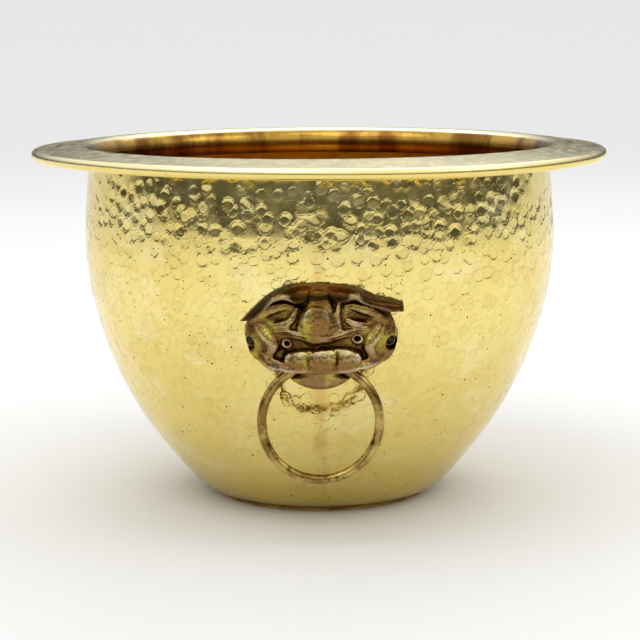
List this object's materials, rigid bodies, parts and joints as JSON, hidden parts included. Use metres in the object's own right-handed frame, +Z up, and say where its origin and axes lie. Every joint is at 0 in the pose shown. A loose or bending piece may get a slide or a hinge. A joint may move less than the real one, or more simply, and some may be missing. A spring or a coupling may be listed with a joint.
{
  "type": "brass planter pot",
  "caption": "Round hammered brass planter with a broad rolled flange, a flat base and lion-mask ring handles that swing.",
  "frame": {"origin": "centre of the flat underside", "axes": "+Z up along the pot's axis; -Y is the front, where one ring handle hangs; the other handle is on +Y"},
  "size_m": [0.3598, 0.3598, 0.2219],
  "materials": {
    "hammered_brass": "hand-hammered, polished, lightly tarnished",
    "base_brass": "plain sheet, dulled",
    "polished_brass": "smooth and polished",
    "rim_wire": "drawn wire, hidden in the roll",
    "mask_bronze": "cast, dark brown patina rubbed bright on the high parts",
    "ring_brass": "bent rod, aged brown with bright worn edges",
    "rivet_iron": "dark oxidised head",
    "burr_brass": "dull"
  },
  "bodies": {
    "pot": {"pot_wall": "hammered_brass", "base_disc": "base_brass", "rim_flange": "polished_brass", "rim_wire": "rim_wire", "lion_mask_front": "mask_bronze", "rivet_front_left": "rivet_iron", "burr_front_left": "burr_brass", "rivet_front_right": "rivet_iron", "burr_front_right": "burr_brass", "lion_mask_back": "mask_bronze", "rivet_back_left": "rivet_iron", "burr_back_left": "burr_brass", "rivet_back_right": "rivet_iron", "burr_back_right": "burr_brass"},
    "front_ring": {"ring_handle_front": "ring_brass"},
    "back_ring": {"ring_handle_back": "ring_brass"}
  },
  "joints": [
    {"name": "front_ring_swing", "type": "hinge", "parent": "pot", "child": "front_ring", "pos_m": [0, -0.148, 0.1066], "axis": [-1, 0, 0], "range_deg": [-27, 57]},
    {"name": "back_ring_swing", "type": "hinge", "parent": "pot", "child": "back_ring", "pos_m": [0, 0.148, 0.1066], "axis": [1, 0, 0], "range_deg": [-27, 57]}
  ]
}
